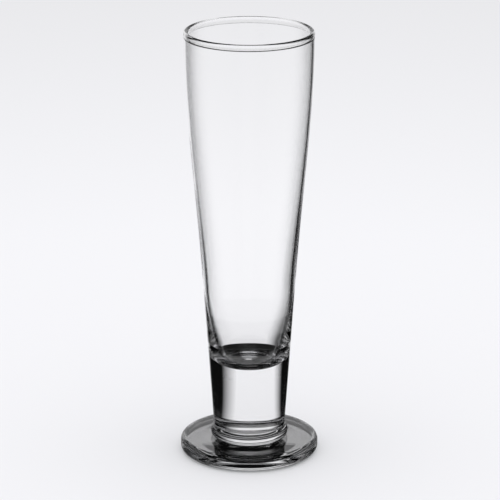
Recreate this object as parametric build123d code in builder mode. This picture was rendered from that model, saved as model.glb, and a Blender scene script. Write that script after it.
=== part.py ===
from build123d import *
import os

# A footed pilsner glass for a serving of twelve US fluid ounces, in millimetres.
# The origin is on the axis of the glass, on the table, and +Z points up to the rim.
# The pieces stand on one another from the foot up and are fused at flat faces.

# Foot: a thick round disc with a shallow hollow underneath
foot_diameter = 73.0
foot_height = 7.8
foot_edge_round = 2.8
hollow_diameter = 56.0
hollow_depth = 0.8

# Ring: a rounded collar between the foot and the stem
ring_diameter = 41.0
ring_height = 5.8
ring_edge_round = 2.6

# Stem: a short solid plug that widens upwards and carries the bowl
stem_bottom_diameter = 37.5
stem_top_diameter = 41.9
stem_height = 31.4
stem_edge_round = 1.2

# Bowl, outside: heights are measured up from the top of the stem
bowl_height = 183.5
waist_height = 45.0
waist_diameter = 48.2
shoulder_height = 82.0
shoulder_diameter = 54.0
rim_diameter = 67.6

# Bowl, inside: a wall that thickens from rim to waist, then a heavy one round a cup-shaped bottom
rim_wall = 1.3
shoulder_wall = 1.8
waist_wall = 2.4
floor_thickness = 3.0
cup_diameter = 33.6
cup_height = 10.0
cup_fullness = 0.75

# Lip: a fire-polished bead that stands out a little on both sides of the wall
lip_thickness = 2.7
lip_height = 3.6
lip_overhang = 0.1

# Radii and heights that follow from the sizes above
foot_radius = foot_diameter / 2
ring_radius = ring_diameter / 2
stem_bottom_radius = stem_bottom_diameter / 2
stem_top_radius = stem_top_diameter / 2
rim_radius = rim_diameter / 2
ring_top = foot_height + ring_height
stem_top = ring_top + stem_height
rim_top = stem_top + bowl_height

os.makedirs("parts", exist_ok=True)

# Foot
with BuildPart() as foot:
    with BuildSketch(Plane.XZ):
        with BuildLine():
            Line((0, foot_height), (0, hollow_depth))
            TangentArc((0, hollow_depth), (hollow_diameter / 2, 0), tangent=(1, 0))
            Line((hollow_diameter / 2, 0), (foot_radius, 0))
            Polyline((foot_radius, 0), (foot_radius, foot_height), (0, foot_height))
        make_face()
    revolve(axis=Axis.Z)
    fillet(foot.edges().filter_by(GeomType.CIRCLE).sort_by(SortBy.RADIUS)[-2:], foot_edge_round)

# Ring
with BuildPart() as ring:
    with BuildSketch(Plane.XY.offset(foot_height)):
        Circle(ring_radius)
    extrude(amount=ring_height)
    fillet(ring.edges().filter_by(GeomType.CIRCLE), ring_edge_round)

# Stem
with BuildPart() as stem:
    with BuildSketch(Plane.XZ):
        with BuildLine():
            Polyline(
                (0, ring_top),
                (stem_bottom_radius, ring_top),
                (stem_top_radius, stem_top),
                (0, stem_top),
                close=True,
            )
        make_face()
    revolve(axis=Axis.Z)
    fillet(stem.edges().filter_by(GeomType.CIRCLE).sort_by(Axis.Z)[0], stem_edge_round)

# Bowl
waist = Vector(waist_diameter / 2, stem_top + waist_height)
shoulder = Vector(shoulder_diameter / 2, stem_top + shoulder_height)
bead = Vector(rim_radius - lip_thickness / 2, rim_top - lip_height / 2)
wall_top = Vector(rim_radius - lip_overhang, bead.Y)
waist_inside = waist - Vector(waist_wall, 0)
shoulder_inside = shoulder - Vector(shoulder_wall, 0)
wall_top_inside = wall_top - Vector(rim_wall, 0)
cup_floor = Vector(0, stem_top + floor_thickness)
cup_edge = Vector(cup_diameter / 2, cup_floor.Y + cup_height)
stem_slope = Vector(stem_top_radius - stem_bottom_radius, stem_height)

with BuildPart() as bowl:
    with BuildSketch(Plane.XZ):
        with BuildLine():
            Spline(
                (stem_top_radius, stem_top), waist, shoulder, wall_top, tangents=[stem_slope, (0, 1)]
            )
            Line(wall_top, wall_top_inside)
            inside = Spline(waist_inside, shoulder_inside, wall_top_inside, tangents=[stem_slope, (0, 1)])
            heavy_wall = TangentArc(waist_inside, cup_edge, tangent=(inside % 0) * -1)
            cup_corner = cup_edge + (heavy_wall % 1) * cup_height * cup_fullness
            cup_flat = Vector(cup_edge.X * cup_fullness, cup_floor.Y)
            Bezier(cup_edge, cup_corner, cup_flat, cup_floor)
            Polyline(cup_floor, (0, stem_top), (stem_top_radius, stem_top))
        make_face()
        with Locations(bead):
            Ellipse(lip_thickness / 2, lip_height / 2)
    revolve(axis=Axis.Z)

for name, piece in {"foot": foot, "ring": ring, "stem": stem, "bowl": bowl}.items():
    piece.part.label = name
    export_step(piece.part, f"parts/{name}.step")

print("total height", rim_top)
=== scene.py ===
# The looks of a footed pilsner glass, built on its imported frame.
# Lengths are in metres, but those of the camera's lens and sensor are in millimetres.
import cmath
import math

import bpy
import numpy as np
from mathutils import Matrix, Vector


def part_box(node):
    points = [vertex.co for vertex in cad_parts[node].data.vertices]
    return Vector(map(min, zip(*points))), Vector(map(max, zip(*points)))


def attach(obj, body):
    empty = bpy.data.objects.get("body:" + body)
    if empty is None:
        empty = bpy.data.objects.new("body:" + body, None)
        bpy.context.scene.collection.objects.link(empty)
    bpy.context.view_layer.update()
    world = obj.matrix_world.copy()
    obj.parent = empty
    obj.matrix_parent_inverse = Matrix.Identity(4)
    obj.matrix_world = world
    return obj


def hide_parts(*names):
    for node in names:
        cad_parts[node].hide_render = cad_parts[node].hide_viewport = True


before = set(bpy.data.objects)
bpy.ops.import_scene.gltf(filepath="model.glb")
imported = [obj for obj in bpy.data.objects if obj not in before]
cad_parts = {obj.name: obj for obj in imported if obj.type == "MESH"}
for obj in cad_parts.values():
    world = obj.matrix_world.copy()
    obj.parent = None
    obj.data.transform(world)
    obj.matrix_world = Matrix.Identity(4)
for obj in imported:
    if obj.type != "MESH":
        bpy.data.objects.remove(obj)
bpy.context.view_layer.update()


# Sizes that the frame gives: the radius and the top of each piece
def radius_and_top(node):
    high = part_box(node)[1]
    return high.x, high.z


foot_radius, foot_top = radius_and_top("foot")
ring_radius, ring_top = radius_and_top("ring")
stem_radius, stem_top = radius_and_top("stem")
rim_radius, rim_top = radius_and_top("bowl")

# Sizes of the foot, ring and stem that their boxes don't show
FOOT_EDGE_ROUND = 0.0028
HOLLOW_RADIUS = 0.028
HOLLOW_DEPTH = 0.0008
RING_EDGE_ROUND = 0.0026
STEM_BOTTOM_RADIUS = 0.01875
STEM_EDGE_ROUND = 0.0012

# Sizes of the bowl: its heights are measured up from the top of the stem
WAIST_RADIUS = 0.0241
WAIST_HEIGHT = 0.045
SHOULDER_RADIUS = 0.0270
SHOULDER_HEIGHT = 0.082
RIM_WALL = 0.0013
SHOULDER_WALL = 0.0018
WAIST_WALL = 0.0024
FLOOR_THICKNESS = 0.003
CUP_RADIUS = 0.0168
CUP_HEIGHT = 0.010
CUP_FULLNESS = 0.75
LIP_THICKNESS = 0.0027
LIP_HEIGHT = 0.0036
LIP_OVERHANG = 0.0001

# How finely the pieces are made
AROUND = 256
ARC_STEPS = 16
SPLINE_STEPS = 40
SHARP_ANGLE = math.radians(40)
TINY = 1e-7

# Glass
GLASS_TINT = (1, 1, 1, 1)
GLASS_IOR = 1.51
WAVE_SCALE = 70
WAVE_DETAIL = 1
WAVE_HEIGHT = 0.00003
SCUFF_SCALE = 900
SCUFF_TOP = 0.0003
SCUFF_ROUGHNESS = 0.12
SHADE_OF_A_WALL = (0.9, 0.91, 0.905, 1)

# Camera, from the photograph's perspective, with angles in radians: the frame is as wide as the sensor
CAMERA_AZIMUTH = math.radians(225)
CAMERA_DISTANCE = 1.3883
CAMERA_HEIGHT = 0.5499
CAMERA_PITCH = 0.30643
CAMERA_YAW = -0.0003
SENSOR_MM = 36
LENS_MM = 200.1

# How often light may pass on: in all and through glass, off glossy surfaces, and through clear sheets
GLASS_BOUNCES = 32
GLOSS_BOUNCES = 16
CLEAR_BOUNCES = 64

# Floor, world and lamp
FLOOR_SIZE = 16
FLOOR_DROP = 0.0004
FLOOR_COLOUR = (0.83, 0.83, 0.845, 1)
FLOOR_FADE_START = 0.4
FLOOR_FADE_END = 1.8
WORLD_COLOUR = (0.8, 0.8, 0.815, 1)
LAMP_HEIGHT = 1.9
LAMP_SIZE = 1.6
LAMP_WATTS = 15

# A dark tent that only the glass sees: painted dark reflections and refractions, which give the glass its
# dark outlines.
# The edges of its sheets are directions in degrees round from +X. Each flag has its edges and the degrees
# over which it fades out towards them, and the gaps between the flags are windows. The back flag closes the
# top of the window that the camera faces.
FLAGS = [((105, 120), 4), ((150, 165), 4), ((195, 304), 18), ((339, 435), 15)]
TENT_RADIUS = 3
TENT_HEIGHT = 1.75
TENT_STEP = 2
FLAG_COLOUR = (0.003, 0.003, 0.003, 1)
BACK_FLAG_EDGES = (270, 370)
BACK_FLAG_BOTTOM = 1.46

# A dark glossy pad under the foot, level with the floor of the tent round it, which only the glass sees: a
# painted dark floor that the glass shows under its foot in place of the pale one
PAD_RADIUS = 0.068
PAD_DROP = 0.0002
PAD_COLOUR = (0.012, 0.012, 0.012, 1)
PAD_ROUGHNESS = 0.03
PAD_SPECULAR = 0.5
PAD_IOR = 2.8

# A screen inside the tent, which only reflections show. The bowl mirrors a pale shelf with a pale side. The
# stem and the foot mirror the box under the shelf, which is dark apart from the card described below and the
# shelf's underside further out.
SCREEN_EDGES = (10, 260)
SCREEN_FADE = 45
SCREEN_RADIUS = 2.9
SCREEN_DROP = PAD_DROP / 2
SCREEN_PALE_TOP = 0.45
SHELF_HEIGHT = 0.055
SHELF_DEPTH = 0.001
SHELF_START = 0.05
SHELF_PALE_START = 0.085
SHELF_PALE = 0.8
UNDERSIDE_DARK_END = 0.25
UNDERSIDE_PALE_START = 0.4

# A pale card just under the shelf that only reflections show: a painted reflection that makes the foot look
# lit where it is seen from the far side
CARD_EDGES = (100, 170)
CARD_FADE = 20
CARD_HEIGHT = SHELF_HEIGHT - 2 * SHELF_DEPTH
CARD_START = 0.07
CARD_END = 0.16


# Curves. A point of an outline is a complex number: its radius, and its height as the imaginary part.
RIGHT = 1
UP = 1j


def tangent_arc(start, direction, end, steps=ARC_STEPS):
    """Points on the arc that leaves start in a direction and reaches end."""
    turn = 2 * cmath.phase((end - start) / direction)
    spoke = (end - start) / (cmath.exp(1j * turn) - 1)
    return [start + spoke * (cmath.exp(1j * turn * k / steps) - 1) for k in range(steps + 1)]


def bezier(start, start_handle, end_handle, end, steps):
    t = np.linspace(0, 1, steps + 1)
    s = 1 - t
    return list(s**3 * start + 3 * s**2 * t * start_handle + 3 * s * t**2 * end_handle + t**3 * end)


def spline(points, start_direction, end_direction):
    """Points on a smooth curve through the given ones, with given directions at its two ends."""
    points = np.array(points)
    runs = np.abs(np.diff(points))
    last = len(points) - 1
    system = np.eye(len(points), dtype=complex)
    wanted = np.zeros(len(points), dtype=complex)
    wanted[0] = start_direction / abs(start_direction)
    wanted[last] = end_direction / abs(end_direction)
    for k in range(1, last):
        before, after = 1 / runs[k - 1], 1 / runs[k]
        system[k, k - 1 : k + 2] = before, 2 * (before + after), after
        wanted[k] = 3 * ((points[k] - points[k - 1]) * before**2 + (points[k + 1] - points[k]) * after**2)
    slopes = np.linalg.solve(system, wanted)
    curve = []
    for k in range(last):
        third = runs[k] / 3
        handles = points[k] + slopes[k] * third, points[k + 1] - slopes[k + 1] * third
        curve += bezier(points[k], *handles, points[k + 1], SPLINE_STEPS)
    return curve


# Outlines, each from the bottom of its piece round the outside to the top
stem_slope = complex(stem_radius - STEM_BOTTOM_RADIUS, stem_top - ring_top)
stem_slope /= abs(stem_slope)
stem_corner = STEM_BOTTOM_RADIUS + 1j * ring_top
stem_corner_half_angle = (math.pi - cmath.phase(stem_slope)) / 2
stem_corner_cut = STEM_EDGE_ROUND / math.tan(stem_corner_half_angle)
ring_seat = ring_radius - RING_EDGE_ROUND + 1j * foot_top
stem_seat = stem_corner - stem_corner_cut


def foot_outline():
    edge = FOOT_EDGE_ROUND
    corner = foot_radius + 1j * foot_top
    return [
        *tangent_arc(1j * HOLLOW_DEPTH, RIGHT, HOLLOW_RADIUS),
        *tangent_arc(foot_radius - edge, RIGHT, foot_radius + 1j * edge),
        *tangent_arc(corner - 1j * edge, UP, corner - edge),
        ring_seat,
    ]


def ring_outline():
    edge = RING_EDGE_ROUND
    corner = ring_radius + 1j * ring_top
    return [
        *tangent_arc(ring_seat, RIGHT, ring_seat + edge + 1j * edge),
        *tangent_arc(corner - 1j * edge, UP, corner - edge),
        stem_seat,
    ]


def stem_outline():
    return [
        *tangent_arc(stem_seat, RIGHT, stem_corner + stem_slope * stem_corner_cut),
        stem_radius + 1j * stem_top,
    ]


def lip_outline(bead):
    """The fire-polished bead, from where it leaves the outside of the wall to where it meets the inside."""
    half_thickness = LIP_THICKNESS / 2
    first = -math.acos(1 - LIP_OVERHANG / half_thickness)
    last = math.pi + math.acos((LIP_OVERHANG + RIM_WALL) / half_thickness - 1)
    turns = np.linspace(first, last, 2 * ARC_STEPS + 1)
    return [bead + half_thickness * math.cos(a) + 1j * LIP_HEIGHT / 2 * math.sin(a) for a in turns]


def bowl_outline():
    waist = WAIST_RADIUS + 1j * (stem_top + WAIST_HEIGHT)
    waist_inside = waist - WAIST_WALL
    shoulder = SHOULDER_RADIUS + 1j * (stem_top + SHOULDER_HEIGHT)
    bead = rim_radius - LIP_THICKNESS / 2 + 1j * (rim_top - LIP_HEIGHT / 2)
    wall_top = rim_radius - LIP_OVERHANG + 1j * bead.imag
    cup_floor = 1j * (stem_top + FLOOR_THICKNESS)
    cup_edge = CUP_RADIUS + cup_floor + 1j * CUP_HEIGHT

    outside = spline([stem_radius + 1j * stem_top, waist, shoulder, wall_top], stem_slope, UP)
    inside = spline([waist_inside, shoulder - SHOULDER_WALL, wall_top - RIM_WALL], stem_slope, UP)
    lip = lip_outline(bead)
    heavy_wall = tangent_arc(waist_inside, -stem_slope, cup_edge, SPLINE_STEPS)
    heading = heavy_wall[-1] - heavy_wall[-2]
    cup_corner = cup_edge + heading / abs(heading) * CUP_HEIGHT * CUP_FULLNESS
    cup_flat = CUP_RADIUS * CUP_FULLNESS + cup_floor
    return [
        *[p for p in outside if p.imag < lip[0].imag],
        *lip,
        *[p for p in reversed(inside) if p.imag < lip[-1].imag],
        *heavy_wall,
        *bezier(cup_edge, cup_corner, cup_flat, cup_floor, SPLINE_STEPS),
    ]


# Materials
def clear_glass():
    """Clear glass, with faint waves in its surface and scuffs where it stands on tables."""
    material = bpy.data.materials.new("clear_glass")
    material.use_nodes = True
    nodes = material.node_tree.nodes
    glass = nodes["Principled BSDF"]
    glass.inputs["Base Color"].default_value = GLASS_TINT
    glass.inputs["IOR"].default_value = GLASS_IOR
    glass.inputs["Transmission Weight"].default_value = 1
    place = nodes.new("ShaderNodeTexCoord")
    add_waves(material, place)
    add_scuffs(material, place)
    let_lamps_through(material)
    return material


def noise(nodes, links, place, scale):
    texture = nodes.new("ShaderNodeTexNoise")
    texture.inputs["Scale"].default_value = scale
    links.new(place.outputs["Object"], texture.inputs["Vector"])
    return texture


def add_waves(material, place):
    nodes, links = material.node_tree.nodes, material.node_tree.links
    waves = noise(nodes, links, place, WAVE_SCALE)
    waves.inputs["Detail"].default_value = WAVE_DETAIL
    surface = nodes.new("ShaderNodeBump")
    surface.inputs["Distance"].default_value = WAVE_HEIGHT
    links.new(waves.outputs["Fac"], surface.inputs["Height"])
    links.new(surface.outputs["Normal"], nodes["Principled BSDF"].inputs["Normal"])


def add_scuffs(material, place):
    nodes, links = material.node_tree.nodes, material.node_tree.links
    height = nodes.new("ShaderNodeSeparateXYZ")
    wear = nodes.new("ShaderNodeMapRange")
    wear.inputs["From Min"].default_value = SCUFF_TOP
    wear.inputs["From Max"].default_value = 0
    wear.inputs["To Max"].default_value = SCUFF_ROUGHNESS
    scuffs = nodes.new("ShaderNodeMath")
    scuffs.operation = "MULTIPLY"
    links.new(place.outputs["Object"], height.inputs["Vector"])
    links.new(height.outputs["Z"], wear.inputs["Value"])
    links.new(wear.outputs["Result"], scuffs.inputs[0])
    links.new(noise(nodes, links, place, SCUFF_SCALE).outputs["Fac"], scuffs.inputs[1])
    links.new(scuffs.outputs["Value"], nodes["Principled BSDF"].inputs["Roughness"])


def let_lamps_through(material):
    """Lamps shine through the glass on to the floor, and each wall takes a little of their light."""
    nodes, links = material.node_tree.nodes, material.node_tree.links
    lamplight = nodes.new("ShaderNodeBsdfTransparent")
    lamplight.inputs["Color"].default_value = SHADE_OF_A_WALL
    ray = nodes.new("ShaderNodeLightPath")
    either = nodes.new("ShaderNodeMixShader")
    links.new(ray.outputs["Is Shadow Ray"], either.inputs["Fac"])
    links.new(nodes["Principled BSDF"].outputs["BSDF"], either.inputs[1])
    links.new(lamplight.outputs["BSDF"], either.inputs[2])
    links.new(either.outputs["Shader"], nodes["Material Output"].inputs["Surface"])


def fused_joint():
    """Where two gathers of glass have run together there is nothing to see."""
    material = bpy.data.materials.new("fused_joint")
    material.use_nodes = True
    nodes = material.node_tree.nodes
    nodes.remove(nodes["Principled BSDF"])
    unseen = nodes.new("ShaderNodeBsdfTransparent")
    material.node_tree.links.new(unseen.outputs["BSDF"], nodes["Material Output"].inputs["Surface"])
    return material


def matte(name, colour):
    material = bpy.data.materials.new(name)
    material.use_nodes = True
    surface = material.node_tree.nodes["Principled BSDF"]
    surface.inputs["Base Color"].default_value = colour
    surface.inputs["Roughness"].default_value = 1
    surface.inputs["Specular IOR Level"].default_value = 0
    return material


# Pieces
def new_object(name, vertices, faces, materials):
    mesh = bpy.data.meshes.new(name)
    mesh.from_pydata(vertices, [], faces)
    for material in materials:
        mesh.materials.append(material)
    made = bpy.data.objects.new(name, mesh)
    bpy.context.scene.collection.objects.link(made)
    return made


def revolve(name, outline, glass, joint):
    """A closed piece of glass. A fused joint closes it where its outline stops short of the axis."""
    outline = [p for k, p in enumerate(outline) if k == 0 or abs(p - outline[k - 1]) > TINY]
    below = [1j * outline[0].imag] if outline[0].real > TINY else []
    above = [1j * outline[-1].imag] if outline[-1].real > TINY else []
    rows = [*below, *outline, *above]
    turns = [cmath.exp(2j * math.pi * k / AROUND) for k in range(AROUND)]
    vertices, starts, faces, slots = [], [], [], []
    for p in rows:
        starts.append(len(vertices))
        spokes = turns if p.real > TINY else turns[:1]
        vertices += [(p.real * s.real, p.real * s.imag, p.imag) for s in spokes]
    for k, (low, high) in enumerate(zip(starts, starts[1:])):
        is_joint = (k == 0 and below) or (k == len(rows) - 2 and above)
        slots += [1 if is_joint else 0] * AROUND
        for here in range(AROUND):
            there = (here + 1) % AROUND
            if rows[k].real <= TINY:
                faces.append((low, high + there, high + here))
            elif rows[k + 1].real <= TINY:
                faces.append((low + here, low + there, high))
            else:
                faces.append((low + here, low + there, high + there, high + here))
    made = new_object(name, vertices, faces, [glass, joint])
    made.data.polygons.foreach_set("material_index", slots)
    made.data.shade_smooth()
    made.data.set_sharp_from_angle(angle=SHARP_ANGLE)
    made.modifiers.new("even_normals", "WEIGHTED_NORMAL").keep_sharp = True
    return made


def build_glass():
    outlines = {
        "foot": foot_outline(),
        "ring": ring_outline(),
        "stem": stem_outline(),
        "bowl": bowl_outline(),
    }
    glass, joint = clear_glass(), fused_joint()
    for node, outline in outlines.items():
        piece = revolve("glass_" + node, outline, glass, joint)
        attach(piece, "root")
        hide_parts(node)


# Stage
def distance_ramp(material, start, end, low, high):
    """A value that goes from low to high with the distance from the middle of the floor."""
    nodes, links = material.node_tree.nodes, material.node_tree.links
    place = nodes.new("ShaderNodeNewGeometry")
    distance = nodes.new("ShaderNodeVectorMath")
    distance.operation = "LENGTH"
    ramp = nodes.new("ShaderNodeMapRange")
    ramp.inputs["From Min"].default_value = start
    ramp.inputs["From Max"].default_value = end
    ramp.inputs["To Min"].default_value = low
    ramp.inputs["To Max"].default_value = high
    links.new(place.outputs["Position"], distance.inputs[0])
    links.new(distance.outputs["Value"], ramp.inputs["Value"])
    return ramp.outputs["Result"]


def blend_shaders(material, share, other):
    """As far as share says, the surface shows its own shader, and elsewhere the other one."""
    nodes, links = material.node_tree.nodes, material.node_tree.links
    either = nodes.new("ShaderNodeMixShader")
    links.new(share, either.inputs["Fac"])
    links.new(other.outputs[0], either.inputs[1])
    links.new(nodes["Principled BSDF"].outputs["BSDF"], either.inputs[2])
    links.new(either.outputs["Shader"], nodes["Material Output"].inputs["Surface"])


def build_floor():
    """A pale floor that fades into the world round it, so that no horizon shows."""
    half = FLOOR_SIZE / 2
    corners = [(-half, -half), (half, -half), (half, half), (-half, half)]
    pale = matte("pale_floor", FLOOR_COLOUR)
    haze = pale.node_tree.nodes.new("ShaderNodeEmission")
    haze.inputs["Color"].default_value = WORLD_COLOUR
    blend_shaders(pale, distance_ramp(pale, FLOOR_FADE_START, FLOOR_FADE_END, 1, 0), haze)
    new_object("floor", [(x, y, -FLOOR_DROP) for x, y in corners], [(0, 1, 2, 3)], [pale])


def sheet_material(name, colour, reflections_only=False):
    """A sheet of the tent is there as far as its cover says, for all of the glass or for reflections only."""
    material = matte(name, colour)
    nodes, links = material.node_tree.nodes, material.node_tree.links
    cover = nodes.new("ShaderNodeAttribute")
    cover.attribute_name = "cover"
    share = cover.outputs["Fac"]
    if reflections_only:
        ray = nodes.new("ShaderNodeLightPath")
        least = nodes.new("ShaderNodeMath")
        least.operation = "MINIMUM"
        links.new(share, least.inputs[0])
        links.new(ray.outputs["Glossy Depth"], least.inputs[1])
        share = least.outputs["Value"]
    blend_shaders(material, share, nodes.new("ShaderNodeBsdfTransparent"))
    return material


def tent_sheet(name, section, material, edges=(0, 360), fade=0):
    """A sheet of the tent: its section swept round from one edge to the other."""
    first, last = edges
    steps = math.ceil((last - first) / TENT_STEP)
    width = len(section)
    vertices, faces, covers = [], [], []
    for at in np.linspace(first, last, steps + 1):
        turn = math.radians(at)
        vertices += [(radius * math.cos(turn), radius * math.sin(turn), height) for radius, height in section]
        covers += [min(1, (at - first) / fade, (last - at) / fade) if fade else 1] * width
    for here in range(0, steps * width, width):
        for k in range(here, here + width - 1):
            faces.append((k, k + 1, k + width + 1, k + width))
    sheet = new_object(name, vertices, faces, [material])
    sheet.data.attributes.new("cover", "FLOAT", "POINT").data.foreach_set("value", covers)
    sheet.visible_camera = False
    sheet.visible_diffuse = False
    sheet.visible_shadow = False


def build_pad():
    """A dark glossy pad under the foot, which only the glass sees: a painted dark floor in its reflections
    and refractions.
    """
    pad = matte("pad", PAD_COLOUR)
    gloss = pad.node_tree.nodes["Principled BSDF"]
    gloss.inputs["Roughness"].default_value = PAD_ROUGHNESS
    gloss.inputs["Specular IOR Level"].default_value = PAD_SPECULAR
    gloss.inputs["IOR"].default_value = PAD_IOR
    tent_sheet("pad", [(0, -PAD_DROP), (PAD_RADIUS, -PAD_DROP)], pad)


def build_tent():
    # Painted dark reflections: black sheets that neither the camera nor the floor sees, only the glass
    flag = sheet_material("flag", FLAG_COLOUR)
    tent_sheet("ceiling", [(TENT_RADIUS, TENT_HEIGHT), (0, TENT_HEIGHT)], flag)
    section = [(TENT_RADIUS, BACK_FLAG_BOTTOM), (TENT_RADIUS, TENT_HEIGHT)]
    tent_sheet("back_flag", section, flag, BACK_FLAG_EDGES)
    section = [(PAD_RADIUS, -PAD_DROP), (TENT_RADIUS, -PAD_DROP), (TENT_RADIUS, TENT_HEIGHT)]
    for k, (edges, fade) in enumerate(FLAGS):
        tent_sheet(f"flag_{k}", section, flag, edges, fade)


def pale_sheet_material(name, dark_end, pale_start):
    """A sheet that only reflections show, dark near the glass and pale further out."""
    material = sheet_material(name, FLOOR_COLOUR, reflections_only=True)
    shade = distance_ramp(material, dark_end, pale_start, 0, SHELF_PALE)
    material.node_tree.links.new(shade, material.node_tree.nodes["Principled BSDF"].inputs["Base Color"])
    return material


def build_screen():
    dark = sheet_material("dark_screen", FLAG_COLOUR, reflections_only=True)
    pale = pale_sheet_material("pale_screen", SHELF_START, SHELF_PALE_START)
    under = pale_sheet_material("shelf_underside", UNDERSIDE_DARK_END, UNDERSIDE_PALE_START)
    side, floor, underside = SCREEN_RADIUS, -SCREEN_DROP, SHELF_HEIGHT - SHELF_DEPTH
    sheets = {
        "screen_floor": (dark, [(PAD_RADIUS, floor), (side, floor)]),
        "shelf_underside": (under, [(SHELF_START, underside), (side, underside)]),
        "shelf": (pale, [(SHELF_START, SHELF_HEIGHT), (side, SHELF_HEIGHT), (side, SCREEN_PALE_TOP)]),
        "screen_top": (dark, [(side, SCREEN_PALE_TOP), (side, TENT_HEIGHT)]),
    }
    for name, (material, section) in sheets.items():
        tent_sheet(name, section, material, SCREEN_EDGES, SCREEN_FADE)


def build_card():
    # Painted reflection: a pale card that the foot mirrors, which lights nothing
    card = sheet_material("card", FLOOR_COLOUR, reflections_only=True)
    section = [(CARD_START, CARD_HEIGHT), (CARD_END, CARD_HEIGHT)]
    tent_sheet("card", section, card, CARD_EDGES, CARD_FADE)


def light():
    world = bpy.data.worlds.new("studio")
    world.use_nodes = True
    world.node_tree.nodes["Background"].inputs["Color"].default_value = WORLD_COLOUR
    bpy.context.scene.world = world
    lamp = bpy.data.lights.new("softbox", "AREA")
    lamp.size = LAMP_SIZE
    lamp.energy = LAMP_WATTS
    softbox = bpy.data.objects.new("softbox", lamp)
    softbox.location.z = LAMP_HEIGHT
    bpy.context.scene.collection.objects.link(softbox)


def build_camera():
    camera = bpy.data.cameras.new("camera")
    camera.sensor_width = SENSOR_MM
    camera.lens = LENS_MM
    stand = bpy.data.objects.new("camera", camera)
    stand.location = (
        CAMERA_DISTANCE * math.sin(CAMERA_AZIMUTH),
        -CAMERA_DISTANCE * math.cos(CAMERA_AZIMUTH),
        CAMERA_HEIGHT,
    )
    stand.rotation_euler = (math.pi / 2 - CAMERA_PITCH, 0, CAMERA_AZIMUTH + CAMERA_YAW)
    bpy.context.scene.collection.objects.link(stand)
    bpy.context.scene.camera = stand


def set_up_render():
    scene = bpy.context.scene
    scene.view_settings.view_transform = "Standard"
    scene.cycles.use_denoising = True
    scene.cycles.max_bounces = GLASS_BOUNCES
    scene.cycles.transmission_bounces = GLASS_BOUNCES
    scene.cycles.glossy_bounces = GLOSS_BOUNCES
    scene.cycles.transparent_max_bounces = CLEAR_BOUNCES
    scene.cycles.caustics_reflective = False
    scene.cycles.caustics_refractive = False


build_glass()
build_floor()
build_pad()
build_tent()
build_screen()
build_card()
light()
build_camera()
set_up_render()
